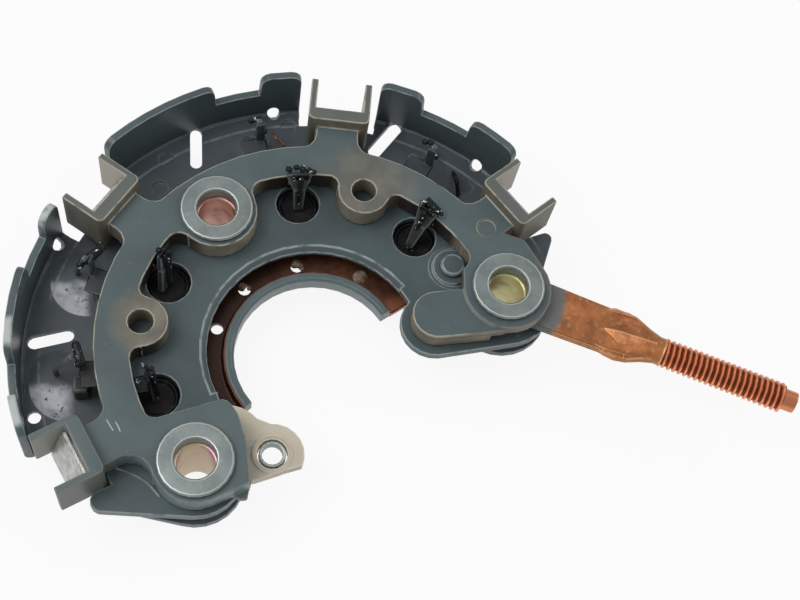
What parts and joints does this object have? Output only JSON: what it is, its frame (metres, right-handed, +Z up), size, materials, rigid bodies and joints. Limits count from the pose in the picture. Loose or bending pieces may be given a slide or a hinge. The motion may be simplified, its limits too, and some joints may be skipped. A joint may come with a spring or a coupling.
{
  "type": "alternator rectifier",
  "caption": "Horseshoe-shaped alternator rectifier: stacked heat sinks with press-in diodes, a moulded terminal plate with lead guides, and a copper terminal bolt.",
  "frame": {"origin": "under the middle of the part's box, in the plane that the bushing sleeves stand on", "axes": "+Z up out of the plates, towards the washers; +X along the terminal bolt, towards its tip"},
  "size_m": [0.152, 0.1068, 0.0218],
  "materials": {
    "painted_copper_sink": "slate grey paint, satin, over copper",
    "moulded_plate": "beige moulding, oversprayed grey on top",
    "pale_moulding": "pale beige moulding",
    "washer_steel": "zinc-plated, dull",
    "passivated_steel": "yellow passivated",
    "bare_copper": "bare rolled copper",
    "tinned_strip": "tinned, drawn",
    "diode_resin": "dark potting resin",
    "varnished_wire": "wire and strip under black varnish"
  },
  "bodies": {
    "root": {"bushing_sleeve_1": "passivated_steel", "bushing_sleeve_2": "passivated_steel", "bushing_sleeve_3": "passivated_steel", "flanged_washer_1": "washer_steel", "flanged_washer_2": "washer_steel", "flanged_washer_3": "washer_steel", "insulator_bush_2": "pale_moulding", "insulator_bush_3": "pale_moulding", "lug_insert": "washer_steel", "lug_insulator": "pale_moulding", "negative_diode_1": "diode_resin", "negative_diode_2": "diode_resin", "negative_diode_3": "diode_resin", "negative_diode_4": "diode_resin", "negative_heat_sink": "painted_copper_sink", "negative_hook_1": "varnished_wire", "negative_hook_2": "varnished_wire", "negative_hook_3": "varnished_wire", "negative_hook_4": "varnished_wire", "negative_lead_1": "varnished_wire", "negative_lead_2": "varnished_wire", "negative_lead_3": "varnished_wire", "negative_lead_4": "varnished_wire", "positive_diode_1": "diode_resin", "positive_diode_2": "diode_resin", "positive_diode_3": "diode_resin", "positive_diode_4": "diode_resin", "positive_heat_sink": "painted_copper_sink", "positive_hook_1": "varnished_wire", "positive_hook_2": "varnished_wire", "positive_hook_3": "varnished_wire", "positive_hook_4": "varnished_wire", "positive_lead_1": "varnished_wire", "positive_lead_2": "varnished_wire", "positive_lead_3": "varnished_wire", "positive_lead_4": "varnished_wire", "rivet": "painted_copper_sink", "stator_terminal_1": "tinned_strip", "stator_terminal_2": "tinned_strip", "stator_terminal_3": "tinned_strip", "stator_terminal_4": "tinned_strip", "terminal_bolt": "bare_copper", "terminal_plate": "moulded_plate"}
  },
  "joints": []
}
